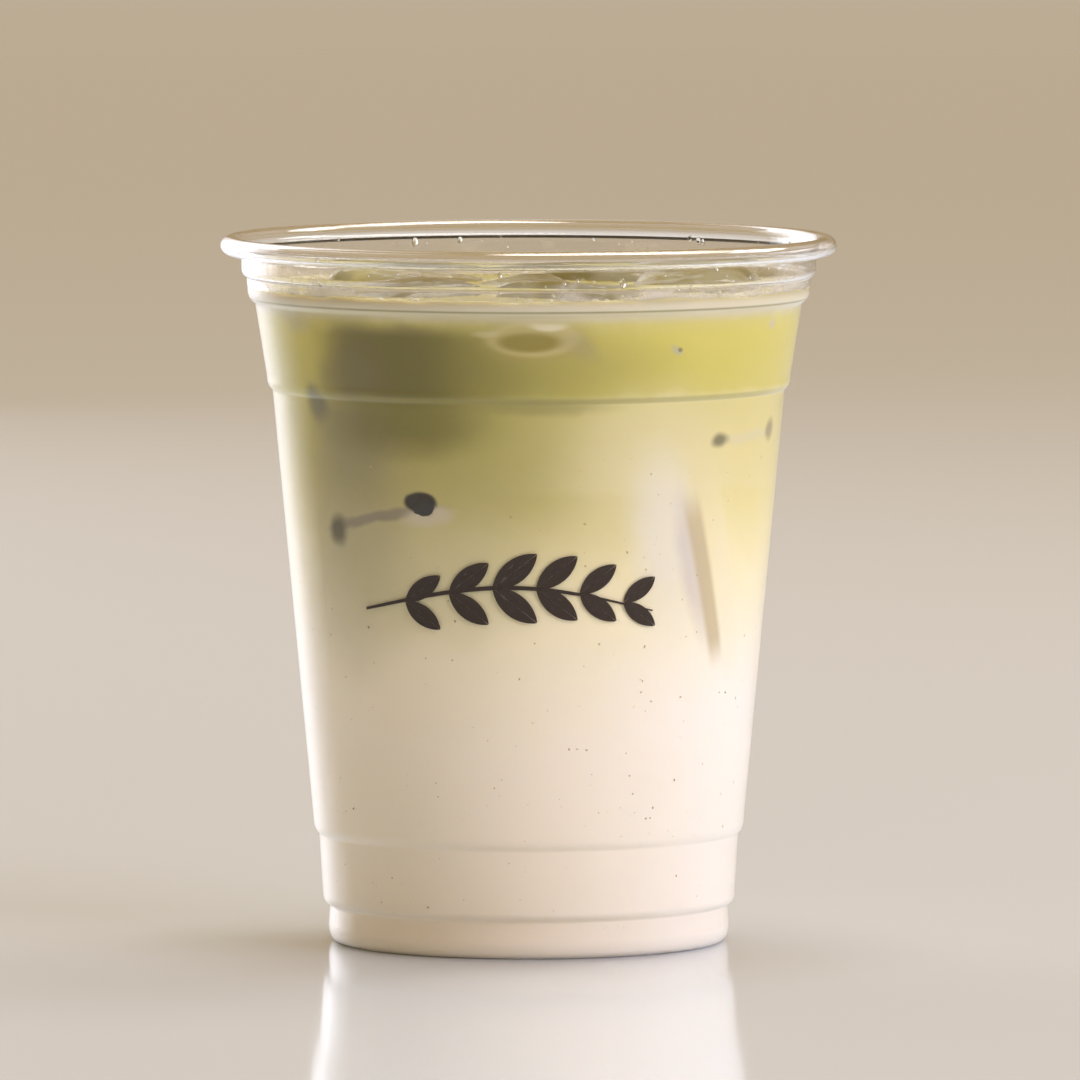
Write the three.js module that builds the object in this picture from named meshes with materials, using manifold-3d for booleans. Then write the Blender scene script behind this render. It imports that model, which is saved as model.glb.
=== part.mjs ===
// An iced matcha latte in a clear take-away cup, in millimetres, +Z up, standing on z = 0 with the
// cup's axis on the Z axis. The shown side faces -Y.
//
// The cup is one thin sheet: a raised base disc, a narrow foot, five conical bands that step outwards
// on the way up, and a rolled rim whose free edge hangs outside. It holds milk, a layer of matcha over
// it that meets the milk along a wavy surface, and melting ice cubes that float in the matcha. Touching
// pieces keep a gap of GAP between them.
import * as THREE from "three";
import { mergeVertices } from "three/addons/utils/BufferGeometryUtils.js";
import Module from "manifold-3d";

// Driving dimensions of the cup, measured on its outer surface.
const CUP_HEIGHT = 112.4;
const RIM_RADIUS = 49.0;
const RIM_WIDTH = 3.4; // of the roll, across
const RIM_TALL = 3.0; // of the roll, up and down
const ROLL_END = -90; // degrees, where the free edge of the roll stops
const ROLL_STEPS = 9;
const SHEET = 0.5; // thickness of the plastic
const TIGHTEST_MITRE = 0.6; // cosine of half the sharpest corner that the sheet is mitred at

const BASE_RISE = 3.0; // of the base disc over the foot
const BASE_RADIUS = 26.5;
const FOOT_INNER = 29.2; // of the flat ring that the cup stands on
const FOOT_OUTER = 30.6;
const FOOT_CORNER = 1.2;

// Each band of the wall, from the foot up: its height and radius where it starts and where it ends.
const BANDS = [
  { from: [2.6, 31.9], to: [5.8, 31.7] }, // foot
  { from: [7.4, 32.8], to: [17.2, 33.4] }, // lower band
  { from: [19.5, 34.3], to: [88.0, 40.75] }, // body
  { from: [90.1, 41.65], to: [101.8, 43.5] }, // upper band
  { from: [103.8, 44.7], to: [105.9, 44.9] }, // stacking ring
  { from: [107.2, 45.7], to: [109.1, 45.7] }, // collar
];
const SHOULDER_TURN = 60; // degrees that the round shoulder at the foot of a band turns through

// Driving dimensions of what the cup holds.
const GAP = 0.3;
const DRINK_LEVEL = 104.0;
const LAYER_HEIGHT = 73.5; // middle height of the surface where matcha meets milk
// How far that surface swings, and the length, direction and start of each swell.
const LAYER_WAVES = [
  { swing: 3.6, length: 80, heading: 0, phase: -1.26 },
  { swing: 1.3, length: 45, heading: 115, phase: 2.1 },
];

const ICE_ROUNDING = 4.0; // of a melting cube's edges
const ICE_MELT = 0.035; // how far its faces swell and sink, as a share of its size
const ICE_SWELLS = [2.3, 1.9, 2.1]; // how often they do, along each of its sides
// Each cube: how far it lies from the axis, at which angle from the front towards +X, how high its
// centre is, its size, and its turn about X, Y and Z in degrees.
const ICE = [
  { name: "ice_front_left", out: 27.4, angle: -49, z: 95.2, size: [25, 23, 21], turn: [6, -7, -51] },
  { name: "ice_front", out: 26.0, angle: 15, z: 95.9, size: [21, 21, 21], turn: [-6, 5, 57] },
  { name: "ice_right", out: 27.1, angle: 80, z: 96.2, size: [22, 21, 22], turn: [7, -8, 76] },
  { name: "ice_back_right", out: 27.5, angle: 150, z: 94.9, size: [24, 22, 21], turn: [-8, 6, 150] },
  { name: "ice_back_left", out: 26.4, angle: 226, z: 95.5, size: [23, 24, 21], turn: [5, 6, 225] },
  { name: "ice_middle", out: 1.0, angle: 230, z: 95.1, size: [21, 20, 20], turn: [10, -6, 25] },
];

const TURN_FACETS = 44; // flats round the cup
const BLOCK_SIDE = 110; // of the blocks that cut the drink into layers, wider than the cup
const BLOCK_BOTTOM = -10; // and reaching below it
const BLOCK_CELLS = 12; // cells along each side of the wavy surface

const PET = { color: "#eef2f2", roughness: 0.05, metalness: 0, transparent: true, opacity: 0.35 };
const MILK = { color: "#f6ecdc", roughness: 0.35, metalness: 0 };
const MATCHA = { color: "#cdbb6c", roughness: 0.35, metalness: 0 };
const CLEAR_ICE = { color: "#e6ebe4", roughness: 0.08, metalness: 0, transparent: true, opacity: 0.45 };

const wasm = await Module();
wasm.setup();

const radians = THREE.MathUtils.degToRad;

// Points on an elliptical arc in the plane of radius and height.
function arc(centre, radii, fromDegrees, toDegrees, steps) {
  return Array.from({ length: steps + 1 }, (_, i) => {
    const angle = radians(fromDegrees + ((toDegrees - fromDegrees) * i) / steps);
    return new THREE.Vector2(
      centre[0] + radii[0] * Math.cos(angle),
      centre[1] + radii[1] * Math.sin(angle),
    );
  });
}

// The step from the end of one band out to the start of the next: a sharp inner corner, then a round
// shoulder that turns upright.
function shoulder(lowEnd, highStart) {
  const rise = (highStart[0] - lowEnd[0]) / Math.sin(radians(SHOULDER_TURN));
  const reach = (highStart[1] - lowEnd[1]) / (1 - Math.cos(radians(SHOULDER_TURN)));
  return arc([highStart[1] - reach, highStart[0]], [reach, rise], -SHOULDER_TURN, 0, 2);
}

// The middle of the sheet, from the axis out along the base and up the wall to the roll's free edge.
function sheetPath() {
  const half = SHEET / 2;
  const path = [
    new THREE.Vector2(0, BASE_RISE + half),
    new THREE.Vector2(BASE_RADIUS, BASE_RISE + half),
    new THREE.Vector2(FOOT_INNER, half),
    ...arc([FOOT_OUTER - half, FOOT_CORNER + half], [FOOT_CORNER, FOOT_CORNER], -90, -20, 2),
  ];
  BANDS.forEach((band, i) => {
    if (i > 0) path.push(...shoulder(BANDS[i - 1].to, band.from).map(inward(half)));
    else path.push(new THREE.Vector2(band.from[1] - half, band.from[0]));
    path.push(new THREE.Vector2(band.to[1] - half, band.to[0]));
  });
  const rollCentre = [RIM_RADIUS - RIM_WIDTH / 2, CUP_HEIGHT - RIM_TALL / 2];
  path.push(...arc(rollCentre, [RIM_WIDTH / 2 - half, RIM_TALL / 2 - half], 180, ROLL_END, ROLL_STEPS));
  return path;
}

function inward(distance) {
  return (point) => new THREE.Vector2(point.x - distance, point.y);
}

// The path moved sideways by a distance, to the left of its direction. Points on the axis stay on it,
// and a sharp corner moves no further than its mitre at the tightest turn allowed.
function sideways(path, distance) {
  const along = (a, b) => b.clone().sub(a).normalize();
  return path.map((point, i) => {
    const before = along(path[Math.max(i - 1, 0)], path[Math.max(i, 1)]);
    const after = along(path[Math.min(i, path.length - 2)], path[Math.min(i + 1, path.length - 1)]);
    const mean = before.clone().add(after).normalize();
    const reach = distance / Math.max(mean.dot(before), TIGHTEST_MITRE);
    const moved = new THREE.Vector2(point.x - mean.y * reach, point.y + mean.x * reach);
    if (point.x === 0) moved.x = 0;
    return moved;
  });
}

// A solid of revolution about Z from an outline of radii and heights that runs anticlockwise.
function turned(outline) {
  const geometry = new THREE.LatheGeometry(outline, TURN_FACETS);
  geometry.rotateX(Math.PI / 2);
  return geometry;
}

// The outline of the sheet, from the axis out along its outer side and back along its inner side.
function sheetOutline(path) {
  return [...sideways(path, -SHEET / 2), ...sideways(path, SHEET / 2).reverse()];
}

// The outline of all that the cup can hold up to its collar, a gap away from its wall.
function hollowOutline(path) {
  const wall = sideways(path, SHEET / 2 + GAP).filter((point) => point.y < BANDS.at(-1).to[0]);
  return [...wall, new THREE.Vector2(0, wall.at(-1).y)];
}

// A closed geometry as a manifold-3d solid.
function solid(geometry) {
  const plain = geometry.clone();
  plain.deleteAttribute("normal");
  plain.deleteAttribute("uv");
  const merged = mergeVertices(plain, 1e-3);
  return new wasm.Manifold(
    new wasm.Mesh({
      numProp: 3,
      vertProperties: new Float32Array(merged.attributes.position.array),
      triVerts: new Uint32Array(merged.index.array),
    }),
  );
}

function geometryOf(manifold) {
  const mesh = manifold.getMesh();
  return new THREE.BufferGeometry()
    .setAttribute("position", new THREE.BufferAttribute(new Float32Array(mesh.vertProperties), 3))
    .setIndex(new THREE.BufferAttribute(new Uint32Array(mesh.triVerts), 1));
}

// Height of the surface where matcha meets milk.
function layerHeight(x, y) {
  return LAYER_WAVES.reduce((height, wave) => {
    const along = x * Math.cos(radians(wave.heading)) + y * Math.sin(radians(wave.heading));
    return height + wave.swing * Math.sin((2 * Math.PI * along) / wave.length + wave.phase);
  }, LAYER_HEIGHT);
}

// A block up to a surface given as a function of x and y.
function blockUnder(height) {
  const block = new THREE.BoxGeometry(BLOCK_SIDE, BLOCK_SIDE, 2, BLOCK_CELLS, BLOCK_CELLS, 1);
  const places = block.attributes.position;
  for (let i = 0; i < places.count; i++) {
    const onTop = places.getZ(i) > 0;
    places.setZ(i, onTop ? height(places.getX(i), places.getY(i)) : BLOCK_BOTTOM);
  }
  return solid(block);
}

// A cube whose edges have melted round. The grid lines of each face lie close to its edges, so that
// the faces stay nearly flat. A grown cube is larger by that much all round.
function meltedCube(size, seed, grown = 0) {
  const geometry = new THREE.BoxGeometry(2, 2, 2, 4, 4, 4);
  const places = geometry.attributes.position;
  const half = new THREE.Vector3(...size).multiplyScalar(0.5);
  const core = half.clone().subScalar(ICE_ROUNDING);
  for (let i = 0; i < places.count; i++) {
    const unit = new THREE.Vector3().fromBufferAttribute(places, i);
    const nearEdge = (u, h) => (Math.abs(u) === 0.5 ? Math.sign(u) * (1 - ICE_ROUNDING / h) : u);
    unit.set(nearEdge(unit.x, half.x), nearEdge(unit.y, half.y), nearEdge(unit.z, half.z));
    const point = unit.clone().multiply(half);
    const inner = point.clone().clamp(core.clone().negate(), core);
    const out = point.sub(inner).normalize();
    const rounded = inner.addScaledVector(out, ICE_ROUNDING);
    const wave = unit.toArray().map((u, side) => Math.sin(ICE_SWELLS[side] * u + (1 + side) * seed));
    rounded.multiplyScalar(1 + ICE_MELT * wave[0] * wave[1] * wave[2]).addScaledVector(out, grown);
    places.setXYZ(i, rounded.x, rounded.y, rounded.z);
  }
  return geometry;
}

// The object given, moved to where a cube floats.
function place(object, cube) {
  const angle = radians(cube.angle);
  object.position.set(cube.out * Math.sin(angle), -cube.out * Math.cos(angle), cube.z);
  object.rotation.set(...cube.turn.map(radians));
  object.updateMatrix();
  return object;
}

// The hole that a cube leaves in the drink.
function pocket(cube, seed) {
  const holder = place(new THREE.Object3D(), cube);
  return solid(meltedCube(cube.size, seed, GAP).applyMatrix4(holder.matrix));
}

// One named piece with its own material.
function piece(name, geometry, finish) {
  geometry.computeVertexNormals();
  const mesh = new THREE.Mesh(geometry, new THREE.MeshStandardMaterial(finish));
  mesh.name = name;
  return mesh;
}

const path = sheetPath();
const latte = new THREE.Group();
latte.add(piece("cup", turned(sheetOutline(path)), PET));

const filling = solid(turned(hollowOutline(path))).intersect(blockUnder(() => DRINK_LEVEL));
const milk = filling.intersect(blockUnder((x, y) => layerHeight(x, y) - GAP / 2));
const pockets = ICE.map((cube, i) => pocket(cube, i + 1));
const matcha = pockets.reduce(
  (rest, hole) => rest.subtract(hole),
  filling.subtract(blockUnder((x, y) => layerHeight(x, y) + GAP / 2)),
);
const drink = new THREE.Group();
drink.add(piece("milk", geometryOf(milk), MILK));
drink.add(piece("matcha", geometryOf(matcha), MATCHA));
latte.add(drink);

const ice = new THREE.Group();
ICE.forEach((cube, i) => {
  ice.add(place(piece(cube.name, meltedCube(cube.size, i + 1), CLEAR_ICE), cube));
});
latte.add(ice);

export default latte;
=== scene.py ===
"""Looks of an iced matcha latte in a clear take-away cup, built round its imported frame.

The outline of the cup is given once, in millimetres, and both the cup and the drink are turned from
it. The drink is one body of milk and matcha with a pocket for each ice cube. The front is -Y, and an
angle round the cup is counted in degrees from the front towards +X.
"""

from __future__ import annotations

import logging
import math
import random
from dataclasses import dataclass, field
from enum import Enum
from itertools import pairwise
from typing import Any, Callable, Iterable, Sequence

import bpy
import numpy as np
from mathutils import Euler, Matrix, Vector, noise
from mathutils.bvhtree import BVHTree

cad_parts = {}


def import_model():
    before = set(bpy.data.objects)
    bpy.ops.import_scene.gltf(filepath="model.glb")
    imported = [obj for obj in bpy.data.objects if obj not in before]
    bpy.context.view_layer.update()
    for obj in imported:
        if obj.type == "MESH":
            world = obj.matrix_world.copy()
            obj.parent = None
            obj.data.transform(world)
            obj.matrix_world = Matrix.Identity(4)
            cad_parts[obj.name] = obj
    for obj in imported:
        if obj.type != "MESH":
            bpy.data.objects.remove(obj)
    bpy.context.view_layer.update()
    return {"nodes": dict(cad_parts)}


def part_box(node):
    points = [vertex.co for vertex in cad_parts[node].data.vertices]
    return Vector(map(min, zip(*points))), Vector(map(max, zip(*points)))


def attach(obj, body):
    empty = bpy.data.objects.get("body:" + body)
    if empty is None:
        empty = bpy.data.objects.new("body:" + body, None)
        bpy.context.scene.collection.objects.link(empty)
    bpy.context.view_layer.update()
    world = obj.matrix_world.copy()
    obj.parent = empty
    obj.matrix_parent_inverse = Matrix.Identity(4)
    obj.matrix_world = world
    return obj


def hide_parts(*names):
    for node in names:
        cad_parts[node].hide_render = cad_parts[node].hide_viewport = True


LOG = logging.getLogger("matcha_latte")
MM = 0.001
ROOT = "root"
WELD = 0.01 * MM  # vertices nearer than this are one
INSIDE = 0.003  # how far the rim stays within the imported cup, in mm
Place = tuple[float, float]  # distance from the axis and height, in mm
Socket = bpy.types.NodeSocket
Tree = bpy.types.NodeTree
Piece = bpy.types.Object


class Slot(Enum):
    """The record's material slots."""

    CLEAR_PLASTIC = "clear_plastic"
    MILK = "milk"
    MATCHA = "matcha"
    ICE = "ice"


def linear(colour: str) -> tuple[float, float, float, float]:
    """Turns an sRGB colour linear.

    Args:
        colour: The colour as #rrggbb.

    Returns:
        Red, green, blue and an alpha of 1.
    """
    channels = [int(colour[i : i + 2], 16) / 255 for i in (1, 3, 5)]
    made = [c / 12.92 if c <= 0.04045 else ((c + 0.055) / 1.055) ** 2.4 for c in channels]
    return (made[0], made[1], made[2], 1.0)


def add_node(
    tree: Tree,
    kind: str,
    settings: dict[str | int, Any] | None = None,
    links: dict[str | int, Socket] | None = None,
) -> bpy.types.ShaderNode:
    """Adds a node with its settings and links.

    Args:
        tree: The node tree that it goes into.
        kind: The node's type, without the word that every shader node's type starts with.
        settings: Values by the name of a property or an input, or by the number of an input.
        links: Sockets that feed an input, by its name or number.

    Returns:
        The new node.
    """
    node = tree.nodes.new("ShaderNode" + kind)
    for name, value in (settings or {}).items():
        if isinstance(name, str) and hasattr(node, name):
            setattr(node, name, value)
        else:
            node.inputs[name].default_value = value
    for name, socket in (links or {}).items():
        tree.links.new(socket, node.inputs[name])
    return node


def add_ramp(
    tree: Tree, stops: Sequence[tuple[float, tuple[float, ...]]], share: Socket
) -> bpy.types.ShaderNode:
    """Adds a colour ramp.

    Args:
        tree: The node tree that it goes into.
        stops: Values on any scale, lowest first, with their linear colours.
        share: 0 at the first stop and 1 at the last.

    Returns:
        The new node.
    """
    ramp = add_node(tree, "ValToRGB", {}, {0: share})
    made = ramp.color_ramp.elements
    for _ in stops[2:]:
        made.new(0.5)
    low, high = stops[0][0], stops[-1][0]
    for stop, (at, colour) in zip(made, stops):
        stop.position = (at - low) / (high - low)
        stop.color = colour
    return ramp


def let_lamps_through(tree: Tree, shader: Socket, colour: str) -> Socket:
    """Lets the light of lamps reach what lies behind a clear surface without being bent.

    Args:
        tree: The material's node tree.
        shader: The clear surface as the eye sees it.
        colour: What the surface leaves of the light.

    Returns:
        The shader that does both.
    """
    path = add_node(tree, "LightPath")
    rays = {0: path.outputs["Is Shadow Ray"], 1: path.outputs["Is Diffuse Ray"]}
    straight = add_node(tree, "Math", {"operation": "MAXIMUM"}, rays)
    open_way = add_node(tree, "BsdfTransparent", {"Color": linear(colour)})
    links = {0: straight.outputs[0], 1: shader, 2: open_way.outputs[0]}
    return add_node(tree, "MixShader", {}, links).outputs[0]


def ripples(tree: Tree, size_mm: float, depth_mm: float, detail: float = 2.0) -> Socket:
    """Makes soft ripples in a surface.

    Args:
        tree: The material's node tree.
        size_mm: From one ripple to the next.
        depth_mm: How deep they are.
        detail: How many finer steps they have.

    Returns:
        The rippled normal.
    """
    place = add_node(tree, "TexCoord").outputs["Object"]
    settings = {"Scale": 1 / (size_mm * MM), "Detail": detail}
    waves = add_node(tree, "TexNoise", settings, {"Vector": place})
    return add_node(tree, "Bump", {"Distance": depth_mm * MM}, {"Height": waves.outputs[0]}).outputs[0]


@dataclass(frozen=True)
class Finish:
    """What every finish shares: its name, and how it becomes a material."""

    name: str

    def shade(self, tree: Tree) -> Socket:
        """Adds the finish's nodes and returns its shader."""
        raise NotImplementedError

    def material(self) -> bpy.types.Material:
        """Makes the finish as a material."""
        made = bpy.data.materials.new(self.name)
        made.use_nodes = True
        made.node_tree.nodes.clear()
        shader = self.shade(made.node_tree)
        add_node(made.node_tree, "OutputMaterial", {}, {"Surface": shader})
        return made


@dataclass(frozen=True)
class ThermoformedPet(Finish):
    """Clear PET sheet, drawn into a polished mould."""

    # Gives hard bright glints along the rim and the steps, with a faint ripple in them.
    name: str = "pet_sheet_thermoformed"
    colour: str = "#fefefe"
    ior: float = 1.575
    roughness: float = 0.03
    ripple_mm: float = 9.0
    ripple_depth_mm: float = 0.012

    def shade(self, tree: Tree) -> Socket:
        """Adds the finish's nodes and returns its shader."""
        settings = {
            "Base Color": linear(self.colour),
            "IOR": self.ior,
            "Roughness": self.roughness,
            "Transmission Weight": 1.0,
        }
        links = {"Normal": ripples(tree, self.ripple_mm, self.ripple_depth_mm, 1.0)}
        clear = add_node(tree, "BsdfPrincipled", settings, links)
        return let_lamps_through(tree, clear.outputs[0], self.colour)


@dataclass(frozen=True)
class MeltingIce(Finish):
    """Machine ice with a cloudy core, wet with its own melt and filmed with tea."""

    # Gives glassy faces with soft hollows over a pale haze, and an olive cast where matcha clings.
    name: str = "ice_machine_made_melting"
    colour: str = "#ebecd8"
    filmed: str = "#ada25e"
    film_mm: float = 11.0
    clear: float = 0.8  # share of the light that the haze lets through
    ior: float = 1.31
    roughness: float = 0.04
    hollow_mm: float = 4.5
    hollow_depth_mm: float = 0.3

    def shade(self, tree: Tree) -> Socket:
        """Adds the finish's nodes and returns its shader."""
        place = add_node(tree, "TexCoord").outputs["Object"]
        settings = {"Scale": 1 / (self.film_mm * MM), "Detail": 3.0}
        patches = add_node(tree, "TexNoise", settings, {"Vector": place})
        share = add_node(
            tree, "MapRange", {"From Min": 0.38, "From Max": 0.62}, {"Value": patches.outputs[0]}
        )
        mixed = add_node(
            tree,
            "Mix",
            {"data_type": "RGBA", 6: linear(self.colour), 7: linear(self.filmed)},
            {0: share.outputs[0]},
        )
        settings = {"IOR": self.ior, "Roughness": self.roughness, "Transmission Weight": self.clear}
        links = {
            "Base Color": mixed.outputs[2],
            "Normal": ripples(tree, self.hollow_mm, self.hollow_depth_mm),
        }
        clear = add_node(tree, "BsdfPrincipled", settings, links)
        return let_lamps_through(tree, clear.outputs[0], self.colour)


@dataclass(frozen=True)
class MeltWater(Finish):
    """Drops of melt water and milk that cling to the plastic."""

    # Gives small round lenses with one bright glint each.
    name: str = "water_drops_clinging"
    colour: str = "#f6f4ea"

    def shade(self, tree: Tree) -> Socket:
        """Adds the finish's nodes and returns its shader."""
        settings = {
            "Base Color": linear(self.colour),
            "IOR": 1.333,
            "Roughness": 0.02,
            "Transmission Weight": 1.0,
        }
        drop = add_node(tree, "BsdfPrincipled", settings)
        return let_lamps_through(tree, drop.outputs[0], self.colour)


@dataclass(frozen=True)
class Mark:
    """A soft patch of colour on the side of the drink; marks give swirls, ice against the wall, and
    painted shade, painted shadows and painted highlights round the ice.
    """

    angle: float  # of its middle, round the cup
    up: float  # of its middle, in mm
    wide: float  # along the wall, in mm
    tall: float  # in mm
    colour: str
    strength: float = 1.0
    soft: float = 0.5  # share of its size over which it fades
    lean: float = 0.0  # degrees that its top leans to the left
    edge: float | None = None  # for a box: share of its height over which it fades
    ragged: bool = True  # whether its outline wanders a little


@dataclass(frozen=True)
class LayeredDrink(Finish):
    """Whole milk with whisked matcha poured over it, cloudy with fat and fine powder."""

    # Gives a warm glow in the shade, because light goes a few mm in, and soft edges to every mark.
    name: str = "milk_and_whisked_matcha_poured"
    layer_up: float = 71.0  # where matcha meets milk, in mm
    swing: float = 3.6  # of the swell in that meeting, in mm
    swell: float = 80.0  # its length, in mm
    start: float = -1.26  # its phase, in radians
    cloud_mm: float = 26.0  # between the clouds where one sinks into the other
    cloud_depth: float = 11.0  # how far they sink, in mm
    wall_out: float = 39.0  # typical distance of the wall from the axis, in mm
    ragged_mm: float = 1.4  # how far the edges of marks wander
    colours: tuple[tuple[float, str], ...] = (
        (-36.0, "#f7f2e6"),
        (-26.0, "#f4eed6"),
        (-16.0, "#f2e8bd"),
        (-7.0, "#e7dca0"),
        (2.0, "#d7cb7e"),
        (10.0, "#cbc067"),
        (20.0, "#cbc159"),
        (32.0, "#d4c95f"),
    )
    froth: tuple[tuple[float, str, float], ...] = (
        (98.5, "#d8cf98", 0.0),
        (100.4, "#d8cf98", 0.25),
        (101.5, "#d6ceaa", 0.8),
        (102.5, "#d6ceb0", 0.9),
        (102.75, "#8f855c", 0.9),
        (103.0, "#d8d2b8", 0.9),
        (103.6, "#d0cbb2", 0.9),
        (104.3, "#aca787", 0.9),
    )  # height in mm, colour and how much it covers; thin low down, and the dark stop at 102.75 mm is a painted shade line where the wall steps out
    pooled: str = "#8f8540"  # tea that gathers between the bubbles on top
    pooled_out: Place = (41.5, 43.6)  # from the axis, where the pools fade out, in mm
    wall_roughness: float = 0.25
    top_roughness: float = 0.6  # broken up by fine froth
    marks: tuple[Mark, ...] = ()

    def layered(self, tree: Tree, place: Socket) -> Socket:
        """Colours the drink by its height over the wavy meeting of milk and matcha.

        Args:
            tree: The material's node tree.
            place: The place in the object.

        Returns:
            The colour.
        """
        parts = add_node(tree, "SeparateXYZ", {}, {0: place})
        settings = {
            "operation": "MULTIPLY_ADD",
            1: 2 * math.pi / (self.swell * MM),
            2: self.start,
        }
        swell = add_node(tree, "Math", settings, {0: parts.outputs[0]})
        wave = add_node(tree, "Math", {"operation": "SINE"}, {0: swell.outputs[0]})
        settings = {"operation": "MULTIPLY_ADD", 1: -self.swing, 2: -self.layer_up}
        meeting = add_node(tree, "Math", settings, {0: wave.outputs[0]})
        links = {0: parts.outputs[2], 2: meeting.outputs[0]}
        over = add_node(tree, "Math", {"operation": "MULTIPLY_ADD", 1: 1 / MM}, links)
        settings = {"Scale": 1 / (self.cloud_mm * MM), "Detail": 3.0, "Distortion": 0.6}
        clouds = add_node(tree, "TexNoise", settings, {"Vector": place})
        settings = {"operation": "MULTIPLY_ADD", 1: self.cloud_depth, 2: -self.cloud_depth / 2}
        shift = add_node(tree, "Math", settings, {0: clouds.outputs[0]})
        links = {0: over.outputs[0], 1: shift.outputs[0]}
        height = add_node(tree, "Math", {"operation": "ADD"}, links)
        low, high = self.colours[0][0], self.colours[-1][0]
        settings = {"From Min": low, "From Max": high}
        share = add_node(tree, "MapRange", settings, {"Value": height.outputs[0]})
        stops = [(at, linear(colour)) for at, colour in self.colours]
        return add_ramp(tree, stops, share.outputs[0]).outputs[0]

    def unrolled(self, tree: Tree, place: Socket) -> tuple[Socket, Socket]:
        """Gives the place on the unrolled wall.

        Args:
            tree: The material's node tree.
            place: The place in the object.

        Returns:
            A vector in mm, along the wall from the front and up, and the same with a little wander.
        """
        parts = add_node(tree, "SeparateXYZ", {}, {0: place})
        front = add_node(tree, "Math", {"operation": "MULTIPLY", 1: -1.0}, {0: parts.outputs[1]})
        links = {0: parts.outputs[0], 1: front.outputs[0]}
        turn = add_node(tree, "Math", {"operation": "ARCTAN2"}, links)
        settings = {"operation": "MULTIPLY", 1: self.wall_out}
        along = add_node(tree, "Math", settings, {0: turn.outputs[0]})
        up = add_node(tree, "Math", {"operation": "MULTIPLY", 1: 1 / MM}, {0: parts.outputs[2]})
        wall = add_node(tree, "CombineXYZ", {}, {0: along.outputs[0], 1: up.outputs[0]})
        wander = 2 * self.ragged_mm
        settings = {"Scale": 1 / (7.0 * MM), "Detail": 2.0}
        blur = add_node(tree, "TexNoise", settings, {"Vector": place})
        settings = {
            "operation": "MULTIPLY_ADD",
            1: (wander, wander, 0.0),
            2: (-wander / 2, -wander / 2, 0.0),
        }
        centred = add_node(tree, "VectorMath", settings, {0: blur.outputs["Color"]})
        links = {0: wall.outputs[0], 1: centred.outputs[0]}
        wandered = add_node(tree, "VectorMath", {"operation": "ADD"}, links)
        return wall.outputs[0], wandered.outputs[0]

    def painted(self, tree: Tree, wall: Socket, colour: Socket, mark: Mark) -> Socket:
        """Lays one mark over the colour of the drink.

        Args:
            tree: The material's node tree.
            wall: The place on the unrolled wall.
            colour: The colour under the mark.
            mark: The mark.

        Returns:
            The colour with the mark.
        """
        settings = {
            "vector_type": "TEXTURE",
            "Location": (math.radians(mark.angle) * self.wall_out, mark.up, 0.0),
            "Rotation": (0.0, 0.0, math.radians(mark.lean)),
            "Scale": (mark.wide / 2, mark.tall / 2, 1e6),
        }
        inner = add_node(tree, "Mapping", settings, {"Vector": wall}).outputs[0]
        if mark.edge is None:
            far = add_node(tree, "VectorMath", {"operation": "LENGTH"}, {0: inner})
            fades = [(far.outputs["Value"], mark.soft, mark.strength)]
        else:
            away = add_node(tree, "VectorMath", {"operation": "ABSOLUTE"}, {0: inner})
            parts = add_node(tree, "SeparateXYZ", {}, {0: away.outputs[0]})
            fades = [(parts.outputs[0], mark.soft, mark.strength), (parts.outputs[1], mark.edge, 1.0)]
        shares = []
        for value, soft, most in fades:
            settings = {
                "interpolation_type": "SMOOTHSTEP",
                "From Min": 1.0 + soft / 2,
                "From Max": 1.0 - soft / 2,
                "To Max": most,
            }
            shares.append(add_node(tree, "MapRange", settings, {"Value": value}).outputs[0])
        share = shares[0]
        for other in shares[1:]:
            both = add_node(tree, "Math", {"operation": "MULTIPLY"}, {0: share, 1: other})
            share = both.outputs[0]
        settings = {"data_type": "RGBA", 7: linear(mark.colour)}
        return add_node(tree, "Mix", settings, {0: share, 6: colour}).outputs[2]

    def on_top(self, tree: Tree, place: Socket) -> Socket:
        """Tells the top of the drink, away from the wall, from its side.

        Args:
            tree: The material's node tree.
            place: The place in the object.

        Returns:
            1 on top and 0 at the side.
        """
        flat = add_node(tree, "VectorMath", {"operation": "MULTIPLY", 1: (1.0, 1.0, 0.0)}, {0: place})
        out = add_node(tree, "VectorMath", {"operation": "LENGTH"}, {0: flat.outputs[0]})
        start, end = self.pooled_out
        settings = {"From Min": start * MM, "From Max": end * MM, "To Min": 1.0, "To Max": 0.0}
        return add_node(tree, "MapRange", settings, {"Value": out.outputs["Value"]}).outputs[0]

    def frothed(self, tree: Tree, place: Socket, top: Socket, colour: Socket) -> Socket:
        """Lays the froth over the top of the drink, with tea pooled between its bubbles.

        Args:
            tree: The material's node tree.
            place: The place in the object.
            top: 1 on top of the drink and 0 at its side.
            colour: The colour under the froth.

        Returns:
            The colour with the froth.
        """
        settings = {"Scale": 1 / (9.0 * MM), "Detail": 5.0, "Roughness": 0.6}
        pools = add_node(tree, "TexNoise", settings, {"Vector": place})
        settings = {"From Min": 0.32, "From Max": 0.52, "To Max": 0.9}
        share = add_node(tree, "MapRange", settings, {"Value": pools.outputs[0]})
        links = {0: share.outputs[0], 1: top}
        pooled = add_node(tree, "Math", {"operation": "MULTIPLY"}, links)
        low, high = self.froth[0][0], self.froth[-1][0]
        settings = {"From Min": low * MM, "From Max": high * MM}
        up = add_node(tree, "SeparateXYZ", {}, {0: place}).outputs[2]
        height = add_node(tree, "MapRange", settings, {"Value": up})
        stops = [(up, linear(colour)[:3] + (cover,)) for up, colour, cover in self.froth]
        ring = add_ramp(tree, stops, height.outputs[0])
        settings = {"data_type": "RGBA", 7: linear(self.pooled)}
        links = {0: pooled.outputs[0], 6: ring.outputs[0]}
        skin = add_node(tree, "Mix", settings, links)
        links = {0: ring.outputs[1], 6: colour, 7: skin.outputs[2]}
        return add_node(tree, "Mix", {"data_type": "RGBA"}, links).outputs[2]

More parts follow.
